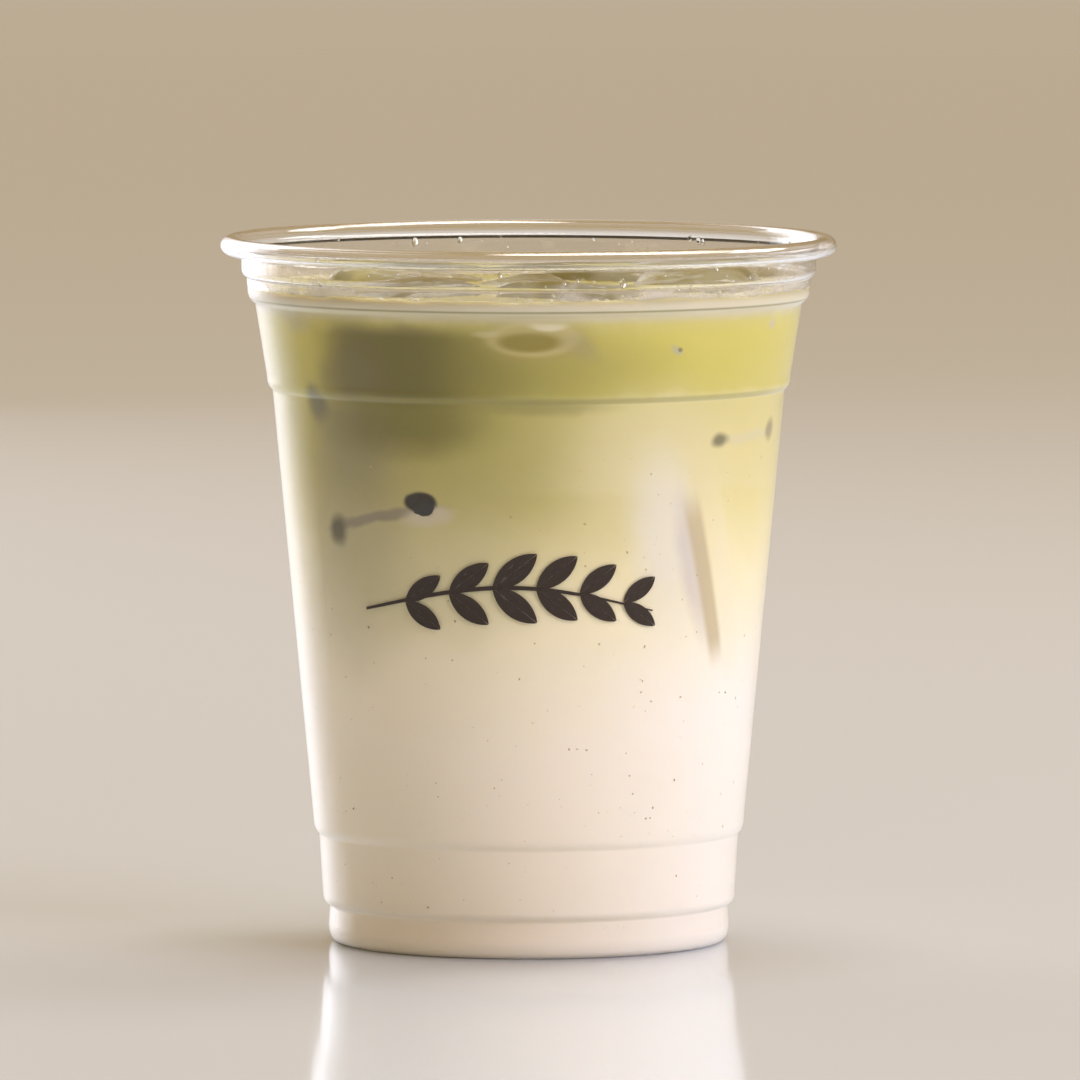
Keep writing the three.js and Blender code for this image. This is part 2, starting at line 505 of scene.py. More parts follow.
    def shade(self, tree: Tree) -> Socket:
        """Adds the finish's nodes and returns its shader."""
        place = add_node(tree, "TexCoord").outputs["Object"]
        plain, wandered = self.unrolled(tree, place)
        top = self.on_top(tree, place)
        colour = self.layered(tree, place)
        # The marks give swirls and ice against the wall, and painted shade, painted shadows and painted
        # highlights round the ice.
        for mark in self.marks:
            colour = self.painted(tree, wandered if mark.ragged else plain, colour, mark)
        colour = self.frothed(tree, place, top, colour)
        settings = {"To Min": self.wall_roughness, "To Max": self.top_roughness}
        rough = add_node(tree, "MapRange", settings, {"Value": top})
        settings = {
            "IOR": 1.35,
            "subsurface_method": "BURLEY",
            "Subsurface Weight": 1.0,
            "Subsurface Radius": (0.8, 0.6, 0.4),
            "Subsurface Scale": 1.3 * MM,
        }
        links = {"Base Color": colour, "Roughness": rough.outputs[0]}
        return add_node(tree, "BsdfPrincipled", settings, links).outputs[0]


@dataclass(frozen=True)
class MilkFroth(Finish):
    """Bubbles of frothed milk: wet skins a few microns thick."""

    # Gives pale rings, clear in the middle and denser at the edge, each with a small glint.
    name: str = "milk_froth_bubbles"
    colour: str = "#efe8d6"
    roughness: float = 0.08

    def shade(self, tree: Tree) -> Socket:
        """Adds the finish's nodes and returns its shader."""
        edge = add_node(tree, "LayerWeight", {"Blend": 0.35})
        settings = {"To Min": 0.18, "To Max": 0.85}
        dense = add_node(tree, "MapRange", settings, {"Value": edge.outputs["Facing"]})
        settings = {"Base Color": linear(self.colour), "Roughness": self.roughness, "IOR": 1.34}
        skin = add_node(tree, "BsdfPrincipled", settings, {"Alpha": dense.outputs[0]})
        return skin.outputs[0]


@dataclass(frozen=True)
class DryingMilk(Finish):
    """A thin film of milk that drains down the plastic and dries there."""

    # Gives cloudy patches with holes and runs in them, thinner towards the top.
    name: str = "milk_film_drying"
    colour: str = "#ded7c3"
    roughness: float = 0.35
    patch_mm: float = 9.0
    low_up: float = 103.5  # where it is thickest, in mm
    high_up: float = 109.0  # where it ends, in mm
    dense: float = 0.7  # at its thickest
    rinsed_at: float = -12.0  # X of the middle of the stretch that ice has rinsed, in mm
    rinsed: Place = (15.0, 21.0)  # from there, where it starts to be dense and where it is, in mm

    def shade(self, tree: Tree) -> Socket:
        """Adds the finish's nodes and returns its shader."""
        place = add_node(tree, "TexCoord").outputs["Object"]
        parts = add_node(tree, "SeparateXYZ", {}, {0: place})
        settings = {"Scale": 1 / (self.patch_mm * MM), "Detail": 6.0, "Roughness": 0.62}
        patches = add_node(tree, "TexNoise", settings, {"Vector": place})
        settings = {
            "From Min": self.low_up * MM,
            "From Max": self.high_up * MM,
            "To Min": 0.2,
            "To Max": -0.22,
        }
        drained = add_node(tree, "MapRange", settings, {"Value": parts.outputs[2]})
        links = {0: patches.outputs[0], 1: drained.outputs[0]}
        thick = add_node(tree, "Math", {"operation": "ADD"}, links)
        settings = {
            "interpolation_type": "SMOOTHSTEP",
            "From Min": 0.4,
            "From Max": 0.7,
            "To Max": self.dense,
        }
        share = add_node(tree, "MapRange", settings, {"Value": thick.outputs[0]})
        settings = {"operation": "SUBTRACT", 1: self.rinsed_at * MM}
        aside = add_node(tree, "Math", settings, {0: parts.outputs[0]})
        away = add_node(tree, "Math", {"operation": "ABSOLUTE"}, {0: aside.outputs[0]})
        start, end = self.rinsed
        settings = {"From Min": start * MM, "From Max": end * MM, "To Min": 0.3}
        kept = add_node(tree, "MapRange", settings, {"Value": away.outputs[0]})
        links = {0: share.outputs[0], 1: kept.outputs[0]}
        left = add_node(tree, "Math", {"operation": "MULTIPLY"}, links)
        settings = {"Base Color": linear(self.colour), "Roughness": self.roughness, "IOR": 1.35}
        film = add_node(tree, "BsdfPrincipled", settings, {"Alpha": left.outputs[0]})
        return film.outputs[0]


@dataclass(frozen=True)
class StoneGroundMatcha(Finish):
    """Clumps of stone-ground green tea that didn't mix in."""

    # Gives matt brown-olive dots, a few of them dark; single grains are too fine to show at all.
    name: str = "matcha_stone_ground"
    colours: tuple[str, str] = ("#c3a876", "#84703f")
    clump_mm: float = 14.0

    def shade(self, tree: Tree) -> Socket:
        """Adds the finish's nodes and returns its shader."""
        place = add_node(tree, "TexCoord").outputs["Object"]
        settings = {"Scale": 1 / (self.clump_mm * MM), "Detail": 3.0}
        wet = add_node(tree, "TexNoise", settings, {"Vector": place})
        settings = {"From Min": 0.52, "From Max": 0.66}
        share = add_node(tree, "MapRange", settings, {"Value": wet.outputs[0]})
        settings = {
            "data_type": "RGBA",
            6: linear(self.colours[0]),
            7: linear(self.colours[1]),
        }
        mixed = add_node(tree, "Mix", settings, {0: share.outputs[0]})
        links = {"Base Color": mixed.outputs[2]}
        return add_node(tree, "BsdfPrincipled", {"Roughness": 0.6}, links).outputs[0]


@dataclass(frozen=True)
class ScreenPrintInk(Finish):
    """Dark brown ink, screen-printed on plastic and cured."""

    # Gives a dense satin brown that is a little thinner here and there, where the mesh held back.
    name: str = "ink_screen_printed"
    colours: tuple[str, str] = ("#291e17", "#392b20")
    mesh_mm: float = 0.6

    def shade(self, tree: Tree) -> Socket:
        """Adds the finish's nodes and returns its shader."""
        place = add_node(tree, "TexCoord").outputs["Object"]
        settings = {"Scale": 1 / (self.mesh_mm * MM), "Detail": 2.0}
        thin = add_node(tree, "TexNoise", settings, {"Vector": place})
        settings = {
            "data_type": "RGBA",
            6: linear(self.colours[0]),
            7: linear(self.colours[1]),
        }
        mixed = add_node(tree, "Mix", settings, {0: thin.outputs[0]})
        settings = {"Roughness": 0.45, "IOR": 1.5}
        links = {"Base Color": mixed.outputs[2]}
        return add_node(tree, "BsdfPrincipled", settings, links).outputs[0]


@dataclass(frozen=True)
class CoatedBoard(Finish):
    """Pale coated board under the cup."""

    # Gives a soft mirror image of the foot, which fades out into plain matt board.
    name: str = "board_coated_pale"
    colour: str = "#c4cbd3"
    roughness: float = 0.1
    glossy_out: float = 0.2  # in metres: so far from the cup it is fully glossy
    matt_out: float = 5.0

    def shade(self, tree: Tree) -> Socket:
        """Adds the finish's nodes and returns its shader."""
        place = add_node(tree, "TexCoord").outputs["Object"]
        far = add_node(tree, "VectorMath", {"operation": "LENGTH"}, {0: place})
        settings = {
            "interpolation_type": "SMOOTHERSTEP",
            "From Min": self.glossy_out,
            "From Max": self.matt_out,
            "To Min": 0.5,
            "To Max": 0.0,
        }
        gloss = add_node(tree, "MapRange", settings, {"Value": far.outputs["Value"]})
        settings = {"Base Color": linear(self.colour), "Roughness": self.roughness, "IOR": 1.5}
        links = {"Specular IOR Level": gloss.outputs[0]}
        return add_node(tree, "BsdfPrincipled", settings, links).outputs[0]


def select_only(piece: Piece) -> None:
    """Deselects everything and makes one object selected and active."""
    bpy.ops.object.select_all(action="DESELECT")
    piece.select_set(True)
    bpy.context.view_layer.objects.active = piece


def added(name: str) -> Piece:
    """Names the primitive that was just added, and puts its place into its mesh.

    Args:
        name: The new piece's name.

    Returns:
        The piece, selected and active.
    """
    piece = bpy.context.active_object
    piece.name = name
    piece.data.name = name
    select_only(piece)
    bpy.ops.object.transform_apply(location=True, rotation=True, scale=True)
    return piece


def apply_modifier(piece: Piece, kind: str, **settings: Any) -> None:
    """Adds a modifier with its settings and applies it.

    Args:
        piece: The piece that it works on.
        kind: The modifier's type.
        **settings: The modifier's settings.
    """
    select_only(piece)
    modifier = piece.modifiers.new(kind.lower(), kind)
    for name, value in settings.items():
        setattr(modifier, name, value)
    bpy.ops.object.modifier_apply(modifier=modifier.name)


def turned(name: str, outline: Sequence[Place], steps: int) -> Piece:
    """Traces an outline from one vertex by extruding it, and spins it round the axis.

    Args:
        name: The new piece's name.
        outline: The places that it passes, in mm.
        steps: How many flats go round.

    Returns:
        The turned piece, one smooth sheet.
    """
    points = [Vector((out * MM, 0.0, up * MM)) for out, up in outline]
    bpy.ops.object.select_all(action="DESELECT")
    bpy.ops.mesh.primitive_plane_add(size=MM, location=points[0])
    piece = added(name)
    bpy.ops.object.mode_set(mode="EDIT")
    bpy.ops.mesh.select_all(action="SELECT")
    bpy.ops.mesh.merge(type="CENTER")
    for here, there in pairwise(points):
        bpy.ops.mesh.extrude_vertices_move(TRANSFORM_OT_translate={"value": there - here})
    bpy.ops.mesh.select_all(action="SELECT")
    bpy.ops.mesh.spin(steps=steps, angle=2 * math.pi, center=(0, 0, 0), axis=(0, 0, 1))
    bpy.ops.mesh.select_all(action="SELECT")
    bpy.ops.mesh.remove_doubles(threshold=WELD)
    bpy.ops.mesh.normals_make_consistent(inside=False)
    bpy.ops.object.mode_set(mode="OBJECT")
    bpy.ops.object.shade_smooth()
    return piece


def reshape(piece: Piece, move: Callable[[Vector], Vector]) -> None:
    """Moves each vertex of a piece to where a function puts it."""
    for vertex in piece.data.vertices:
        vertex.co = move(vertex.co.copy())
    piece.data.update()


def copy_of(piece: Piece, name: str) -> Piece:
    """Copies a piece with a mesh of its own and none of the original's materials.

    Args:
        piece: The piece to copy.
        name: The copy's name.

    Returns:
        The copy.
    """
    mesh = piece.data.copy()
    mesh.name = name
    mesh.materials.clear()
    made = bpy.data.objects.new(name, mesh)
    bpy.context.scene.collection.objects.link(made)
    return made


def joined(pieces: Iterable[Piece], name: str) -> Piece:
    """Joins pieces into one.

    Args:
        pieces: The pieces, which are used up.
        name: The joined piece's name.

    Returns:
        The joined piece.
    """
    bpy.ops.object.select_all(action="DESELECT")
    for piece in pieces:
        piece.select_set(True)
        bpy.context.view_layer.objects.active = piece
    bpy.ops.object.join()
    made = bpy.context.active_object
    made.name = name
    made.data.name = name
    return made


def scattered(name: str, grain: Piece, places: Sequence[Matrix]) -> Piece:
    """Sets one modelled grain at many places, as one mesh.

    Args:
        name: The new piece's name.
        grain: The grain, which is used up.
        places: Where each copy goes.

    Returns:
        The piece that holds all copies.
    """
    corners = np.array([vertex.co for vertex in grain.data.vertices])
    faces = [list(face.vertices) for face in grain.data.polygons]
    moved = [corners @ np.array(place.to_3x3()).T + np.array(place.translation) for place in places]
    mesh = bpy.data.meshes.new(name)
    mesh.from_pydata(
        np.concatenate(moved).tolist(),
        [],
        [[i + n * len(corners) for i in face] for n in range(len(places)) for face in faces],
    )
    bpy.data.objects.remove(grain)
    made = bpy.data.objects.new(name, mesh)
    bpy.context.scene.collection.objects.link(made)
    select_only(made)
    bpy.ops.object.shade_smooth()
    return made


def hand_over(piece: Piece, finish: Finish, slot: Slot, *nodes: str) -> None:
    """Gives a piece its finish, attaches it to the root and hides the frame's nodes that it replaces.

    Args:
        piece: The finished piece.
        finish: What it is made of.
        slot: Not used.
        *nodes: The frame's nodes that it replaces.
    """
    piece.data.materials.clear()
    piece.data.materials.append(finish.material())
    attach(piece, ROOT)
    if nodes:
        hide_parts(*nodes)
    LOG.info("%s: %d faces in %s", piece.name, len(piece.data.polygons), finish.name)


@dataclass(frozen=True)
class Band:
    """A conical stretch of the wall: its height and distance from the axis at both ends, in mm."""

    low_up: float
    low_out: float
    high_up: float
    high_out: float


@dataclass(frozen=True)
class CupOutline:
    """The outer outline of the cup, from the middle of its base to the free edge of its rim, in mm."""

    rim_out: float
    height: float
    sheet: float = 0.45
    roll_width: float = 3.4
    roll_tall: float = 3.0
    roll_start: float = 180.0
    roll_end: float = -92.0
    roll_steps: int = 30
    base: tuple[Place, ...] = ((0.0, 3.3), (6.0, 3.3), (12.0, 3.25), (18.0, 3.15), (24.0, 3.0))
    foot_inner: float = 29.0
    foot_outer: float = 30.4
    foot_corner: float = 1.4
    bands: tuple[Band, ...] = (
        Band(2.6, 31.9, 5.8, 31.7),
        Band(7.4, 32.8, 17.2, 33.4),
        Band(19.5, 34.3, 88.0, 40.75),
        Band(90.1, 41.65, 101.8, 43.5),
        Band(103.8, 44.7, 105.9, 44.9),
        Band(107.2, 45.7, 109.2, 45.7),
    )
    longest: float = 3.0  # of the outline's stretches
    shortest: float = 0.25  # at each end of a straight stretch, to keep its corner crisp

    def bend(self, start: Place, through: Place, end: Place, steps: int = 8) -> list[Place]:
        """Curves smoothly from one place to another.

        Args:
            start: Where it starts.
            through: The place that it is pulled towards.
            end: Where it ends.
            steps: How many stretches it has.

        Returns:
            The places after the start.
        """
        shares = [i / steps for i in range(1, steps + 1)]
        ways = list(zip(start, through, end))
        return [
            tuple((1 - s) ** 2 * a + 2 * s * (1 - s) * b + s * s * c for a, b, c in ways)
            for s in shares
        ]

    def straight(self, start: Place, end: Place) -> list[Place]:
        """Goes straight in even stretches, with a short one at each end.

        Args:
            start: Where it starts.
            end: Where it ends.

        Returns:
            The places after the start.
        """
        length = math.dist(start, end)
        short = self.shortest / length
        inner = max(1, round(length / self.longest))
        shares = [short + (1 - 2 * short) * i / inner for i in range(inner + 1)] + [1.0]
        return [tuple(a + (b - a) * s for a, b in zip(start, end)) for s in shares]

    def wall(self) -> list[Place]:
        """The outline up to the collar, where the roll of the rim starts."""
        first = self.bands[0]
        path = list(self.base)
        path += self.bend(path[-1], (26.0, 2.9), (27.4, 1.3), 4)
        path += self.bend(path[-1], (28.3, 0.0), (self.foot_inner, 0.0), 4)
        path.append((self.foot_outer, 0.0))
        corner = (self.foot_outer + self.foot_corner, 0.0)
        path += self.bend(path[-1], corner, (first.low_out, first.low_up))
        path += self.straight(path[-1], (first.high_out, first.high_up))
        for below, band in pairwise(self.bands):
            pull = (band.low_out, below.high_up + (band.low_up - below.high_up) / 3)
            path += self.bend(path[-1], pull, (band.low_out, band.low_up))
            path += self.straight(path[-1], (band.high_out, band.high_up))
        return path

    def whole(self) -> list[Place]:
        """The whole outline: under the rim it runs inside the roll, a sheet's thickness in."""
        middle = (self.rim_out - self.roll_width / 2, self.height - self.roll_tall / 2)
        wide, tall = self.roll_width / 2 - self.sheet, self.roll_tall / 2 - self.sheet
        sweep = self.roll_end - self.roll_start
        turns = [
            math.radians(self.roll_start + sweep * i / self.roll_steps)
            for i in range(self.roll_steps + 1)
        ]
        roll = [(middle[0] + wide * math.cos(t), middle[1] + tall * math.sin(t)) for t in turns]
        return self.wall() + roll

    def inside(self, depth: float) -> list[Place]:
        """The outline of the wall, moved towards the drink.

        Args:
            depth: How far it is moved, in mm.

        Returns:
            The moved places.
        """
        path = self.wall()
        moved = []
        for before, here, after in zip(path[:1] + path, path, path[1:] + path[-1:]):
            along = (Vector(after) - Vector(before)).normalized()
            out = 0.0 if here[0] == 0 else here[0] - along.y * depth
            moved.append((out, here[1] + along.x * depth))
        return moved

    def out_at(self, up: float, depth: float = 0.0) -> float:
        """How far from the axis the wall is.

        Args:
            up: The height, in mm.
            depth: How far under the outer side, in mm.

        Returns:
            The distance from the axis, in mm.
        """
        path = [place for place in self.inside(depth) if place[0] > self.foot_outer]
        return float(np.interp(up, [place[1] for place in path], [place[0] for place in path]))

    def at(self, angle: float, up: float, depth: float) -> Vector:
        """A place at the wall, in metres.

        Args:
            angle: Round the cup, in degrees from the front.
            up: The height, in mm.
            depth: How far under the outer side, in mm.

        Returns:
            The place.
        """
        out, turn = self.out_at(up, depth), math.radians(angle)
        return Vector((out * math.sin(turn), -out * math.cos(turn), up)) * MM


@dataclass(frozen=True)
class ClearCup:
    """The cup: one thin sheet with a rolled rim."""

    outline: CupOutline
    finish: ThermoformedPet = ThermoformedPet()
    steps: int = 192

    def build(self) -> Piece:
        """Turns the sheet's outer side and thickens it: towards the drink, and outwards in the roll."""
        cup = turned("clear_cup", self.outline.whole(), self.steps)
        thick = self.outline.sheet * MM
        apply_modifier(cup, "SOLIDIFY", thickness=thick, offset=1.0, use_even_offset=True)
        hand_over(cup, self.finish, Slot.CLEAR_PLASTIC, "cup")
        return cup


@dataclass(frozen=True)
class SunkCube:
    """A cube that is wholly under the drink and touches the wall with both ends of one edge."""

    name: str
    touches: tuple[tuple[float, float, float], ...]  # angle, height in mm and mm in from the wall
    size: tuple[float, float, float]  # along that edge, and across, in mm


@dataclass
class IceLoad:
    """All the ice: what floats stands for the frame's cubes, and what is sunk only shows at the wall."""

    outline: CupOutline
    frame_nodes: dict[str, Piece]
    finish: MeltingIce = MeltingIce()
    # The sunk ice has a much darker copy of the ice's finish: painted shade, so that it shows
    # near-black, as ice over the shaded inside of the drink does.
    sunk_shade_finish: MeltingIce = MeltingIce("ice_machine_made_painted_shade", "#5a5026", "#2a220a")
    rounding: float = 3.0  # of a sunk cube's edges, in mm
    overlap: float = 0.1  # that ice reaches into the drink, so that no gap shows, in mm
    poke: float = 0.55  # that a touching end reaches past the wall before it is cut, in mm
    sunk: tuple[SunkCube, ...] = (
        SunkCube("ice_sunk_left", ((-50.4, 67.4, 0.35), (-25.6, 72.2, 0.0)), (23.0, 22.0, 21.0)),
    )
    floating: dict[str, Piece] = field(default_factory=dict)
    under: list[Piece] = field(default_factory=list)

    def melt(self, piece: Piece, seed: int, wear: float) -> None:
        """Wears the flat faces of a cube into shallow hollows.

        Args:
            piece: The cube.
            seed: Makes each cube's wear its own.
            wear: How deep it goes, in mm.
        """
        middle = sum((vertex.co for vertex in piece.data.vertices), Vector())
        middle /= len(piece.data.vertices)
        shift = Vector((seed * 7.3, seed * 3.1, -seed * 5.7))

        def worn(place: Vector) -> Vector:
            """Moves a place in or out by two sizes of noise."""
            coarse = noise.noise(place / (9.0 * MM) + shift)
            fine = noise.noise(place / (3.5 * MM) + shift)
            return place + (place - middle).normalized() * (coarse + 0.3 * fine) * wear * MM

        reshape(piece, worn)
        select_only(piece)
        bpy.ops.object.shade_smooth()

    def float_cube(self, node: str, seed: int) -> Piece:
        """Smooths and melts a copy of one of the frame's cubes.

        Args:
            node: The frame's node.
            seed: Makes its wear its own.

        Returns:
            The cube.
        """
        cube = copy_of(self.frame_nodes[node], "melting_" + node)
        select_only(cube)
        bpy.ops.object.mode_set(mode="EDIT")
        bpy.ops.mesh.select_all(action="SELECT")
        bpy.ops.mesh.remove_doubles(threshold=WELD)
        bpy.ops.mesh.tris_convert_to_quads()
        bpy.ops.mesh.normals_make_consistent(inside=False)
        bpy.ops.object.mode_set(mode="OBJECT")
        apply_modifier(cube, "SUBSURF", levels=2, render_levels=2)
        self.melt(cube, seed, 0.5)
        return cube

    def sink_cube(self, cube: SunkCube, seed: int) -> Piece:
        """Models a sunk cube from a primitive and turns its touching edge to the wall.

        Args:
            cube: What it is like and where it touches.
            seed: Makes its wear its own.

        Returns:
            The cube, which still reaches a little past the wall.
        """
        bpy.ops.object.select_all(action="DESELECT")
        bpy.ops.mesh.primitive_cube_add(size=1, scale=[side * MM for side in cube.size])
        made = added(cube.name)
        width = self.rounding * MM
        apply_modifier(made, "BEVEL", width=width, segments=6, limit_method="NONE")
        apply_modifier(made, "SUBSURF", levels=2, render_levels=2, subdivision_type="SIMPLE")
        self.melt(made, seed, 0.15)
        sheet = self.outline.sheet
        start, end = (self.outline.at(angle, up, sheet + inward) for angle, up, inward in cube.touches)
        edge = (end - start).normalized()
        middle = (start + end) / 2
        outward = Vector((middle.x, middle.y, 0.0))
        outward = (outward - edge * outward.dot(edge)).normalized()
        aside = edge.cross(outward)
        turn = Matrix((edge, (outward + aside).normalized(), (aside - outward).normalized()))
        flats = sum(side / 2 - self.rounding for side in cube.size[1:])
        reach = flats / math.sqrt(2) + self.rounding
        place = middle + outward * ((self.poke - reach) * MM)
        reshape(made, lambda corner: turn.transposed() @ corner + place)
        return made

    def build(self) -> None:
        """Builds the floating cubes and then the sunk ones, not yet cut to the wall."""
        nodes = sorted(name for name in self.frame_nodes if name.startswith("ice_"))
        self.floating = {node: self.float_cube(node, seed) for seed, node in enumerate(nodes, 1)}
        self.under = [self.sink_cube(cube, seed) for seed, cube in enumerate(self.sunk, 11)]

    def cutter(self) -> Piece:
        """One body in the shape of all the ice, a little smaller, that cuts its pockets."""
        shrunk = [copy_of(piece, "cut") for piece in (*self.floating.values(), *self.under)]
        for piece in shrunk:
            apply_modifier(piece, "DISPLACE", strength=-self.overlap * MM, mid_level=0.0)
        return joined(shrunk, "ice_cutter")

    def dress(self, room: Piece) -> None:
        """Cuts the sunk cubes off at the wall and hands all cubes over.

        Args:
            room: The room that sunk ice has, which is used up.
        """
        for piece in self.under:
            apply_modifier(piece, "BOOLEAN", operation="INTERSECT", object=room, solver="EXACT")
            select_only(piece)
            bpy.ops.object.shade_smooth_by_angle(angle=math.radians(40))
            hand_over(piece, self.sunk_shade_finish, Slot.ICE)
        bpy.data.objects.remove(room)
        for node, piece in self.floating.items():
            hand_over(piece, self.finish, Slot.ICE, node)


@dataclass(frozen=True)
class LayeredLatte:
    """Milk and matcha as one body, which fills the cup and climbs a little at the wall and the ice."""

    outline: CupOutline
    finish: LayeredDrink
    level: float = 103.75  # of its surface away from the wall, in mm
    climb: float = 0.75  # at the wall, in mm
    fade: float = 1.0  # distance over which the climb fades, in mm
    ice_climb: float = 0.6
    ice_fade: float = 0.8
    reach: float = 0.15  # into the wall, so that no gap shows, in mm
    ring: float = 0.7  # between the rings of its surface, in mm
    ripple: float = 0.12  # of its surface, in mm
    drip: float = 0.4  # of its edge at the wall, in mm
    steps: int = 192

    def body(self, name: str, depth: float, climb: float) -> Piece:
        """Turns a body that fills the cup.

        Args:
            name: The new piece's name.
            depth: How far its wall is from the outer side of the cup, in mm.
            climb: How far it climbs at the wall, in mm.

        Returns:
            The closed body.
        """
        side = [place for place in self.outline.inside(depth) if place[1] < self.level + climb]
        edge = self.outline.out_at(self.level + climb, depth)
        rings = round(edge / self.ring)
        top = [
            (edge * (1 - i / rings), self.level + climb * math.exp(-edge * i / rings / self.fade))
            for i in range(rings + 1)
        ]
        return turned(name, side + top, self.steps)

    def room(self) -> Piece:
        """The room that sunk ice has: it ends just under the drink's own side."""
        return self.body("room", self.outline.sheet - self.reach + 0.01, 0.0)

    def surface(self, drink: Piece, cubes: Iterable[Piece]) -> None:
        """Ripples the drink's surface and lifts it where it touches ice.

        Args:
            drink: The drink's body.
            cubes: The ice that floats in it.
        """
        graph = bpy.context.evaluated_depsgraph_get()
        trees = [BVHTree.FromObject(piece, graph) for piece in cubes]
        edge = self.outline.out_at(self.level + self.climb, self.outline.sheet - self.reach)

        def lifted(place: Vector) -> Vector:
            """Moves a place of the surface up or down."""
            if place.z < (self.level - 0.01) * MM:
                return place
            near = min(tree.find_nearest(place)[3] for tree in trees) / MM
            swell = self.ripple * noise.noise(place / (6.0 * MM))
            inward = edge - math.hypot(place.x, place.y) / MM
            drips = noise.noise(place / (4.5 * MM)) + 0.5 * noise.noise(place / (1.7 * MM))
            swell += self.drip * drips * math.exp(-inward / self.fade)
            place.z += (self.ice_climb * math.exp(-near / self.ice_fade) + swell) * MM
            return place

        reshape(drink, lifted)

    def build(self, ice: IceLoad) -> Piece:
        """Turns the drink, shapes its surface and cuts a pocket for each ice cube.

        Args:
            ice: The ice that it holds.

        Returns:
            The drink.
        """
        drink = self.body("matcha_latte", self.outline.sheet - self.reach, self.climb)
        self.surface(drink, ice.floating.values())
        cutter = ice.cutter()
        apply_modifier(drink, "BOOLEAN", operation="DIFFERENCE", object=cutter, solver="EXACT")
        bpy.data.objects.remove(cutter)
        select_only(drink)
        bpy.ops.object.shade_smooth_by_angle(angle=math.radians(40))
        hand_over(drink, self.finish, Slot.MATCHA, "milk", "matcha")
        return drink


@dataclass(frozen=True)
class MatchaSpecks:
    """Specks of ground tea in the milk that lie against the wall."""

    outline: CupOutline
    finish: StoneGroundMatcha = StoneGroundMatcha()
    count: int = 620
    heights: Place = (4.0, 80.0)
    sizes: Place = (0.06, 0.18)  # radius in mm
    depth: float = 0.29  # under the cup's outer side, in mm: half proud of the drink's own side
    thin: float = 0.05  # half their thickness, in mm
    seed: int = 5

    def build(self) -> Piece:
        """Models one flat grain and scatters it over the drink's side."""
        draw = random.Random(self.seed)
        bpy.ops.object.select_all(action="DESELECT")
        bpy.ops.mesh.primitive_ico_sphere_add(subdivisions=1, radius=1.0)
        grain = added("grain")
        places = []
        for _ in range(self.count):
            angle, up = draw.uniform(-180, 180), draw.uniform(*self.heights)
            low, high = self.sizes
            radius = low + (high - low) * draw.random() ** 3
            spin = Euler((0.0, draw.uniform(0, math.pi), 0.0)).to_matrix().to_4x4()
            face = Euler((0.0, 0.0, math.radians(angle))).to_matrix().to_4x4()
            shape = Vector((radius * draw.uniform(1.0, 1.9), self.thin, radius)) * MM
            spot = Matrix.Translation(self.outline.at(angle, up, self.depth))
            places.append(spot @ face @ spin @ Matrix.Diagonal((*shape, 1.0)))
        specks = scattered("matcha_specks", grain, places)
        hand_over(specks, self.finish, Slot.MATCHA)
        return specks


@dataclass(frozen=True)
class Froth:
    """Bubbles that gather where the drink meets the wall and the ice."""

    outline: CupOutline
    finish: MilkFroth = MilkFroth()
    level: float = 103.9
    at_wall: int = 700
    at_ice: int = 420
    sizes: Place = (0.1, 0.75)  # radius in mm
    spread: float = 1.6  # away from the wall, in mm
    large: tuple[Place, ...] = ((25.3, 1.2), (-76.0, 0.9), (148.0, 1.0))  # angle, radius in mm
    seed: int = 23

    def radius(self, draw: random.Random) -> float:
        """Draws a radius in mm, mostly a small one."""
        return self.sizes[0] + (self.sizes[1] - self.sizes[0]) * draw.random() ** 4

    def bubble(self) -> Piece:
        """Models one bubble, cut off a little under its middle and closed there."""
        bpy.ops.object.select_all(action="DESELECT")
        bpy.ops.mesh.primitive_ico_sphere_add(subdivisions=2, radius=1.0)
        bubble = added("bubble")
        bpy.ops.object.mode_set(mode="EDIT")
        bpy.ops.mesh.select_all(action="SELECT")
        bpy.ops.mesh.bisect(
            plane_co=(0, 0, -0.3), plane_no=(0, 0, 1), clear_inner=True, use_fill=True
        )
        bpy.ops.mesh.select_all(action="SELECT")
        bpy.ops.mesh.normals_make_consistent(inside=False)
        bpy.ops.object.mode_set(mode="OBJECT")
        return bubble

    def build(self, cubes: Iterable[Piece]) -> Piece:
        """Sets bubbles along the wall and round the floating ice.

        Args:
            cubes: The floating ice.

        Returns:
            All the bubbles as one piece.
        """
        draw = random.Random(self.seed)
        edge = self.outline.out_at(self.level, self.outline.sheet)
        spots = []
        rows = [(draw.uniform(-180, 180), self.radius(draw)) for _ in range(self.at_wall)]
        for angle, radius in [*self.large, *rows]:
            loose = radius < self.sizes[1]
            inward = radius + loose * abs(draw.gauss(0.0, self.spread))
            out, turn = edge - inward, math.radians(angle)
            up = self.level + 0.6 * math.exp(-inward)
            spots.append((Vector((out * math.sin(turn), -out * math.cos(turn), up)) * MM, radius))
        line = [
            vertex.co
            for cube in cubes
            for vertex in cube.data.vertices
            if abs(vertex.co.z - self.level * MM) < 0.6 * MM
        ]
        for _ in range(self.at_ice):
            near = line[draw.randrange(len(line))]
            spot = near + Vector((draw.gauss(0, 0.8), draw.gauss(0, 0.8), 0.0)) * MM
            spot.z = self.level * MM
            spots.append((spot, 0.8 * self.radius(draw)))
        places = [Matrix.Translation(spot) @ Matrix.Scale(r * MM, 4) for spot, r in spots]
        bubbles = scattered("froth_bubbles", self.bubble(), places)
        hand_over(bubbles, self.finish, Slot.MILK)
        return bubbles


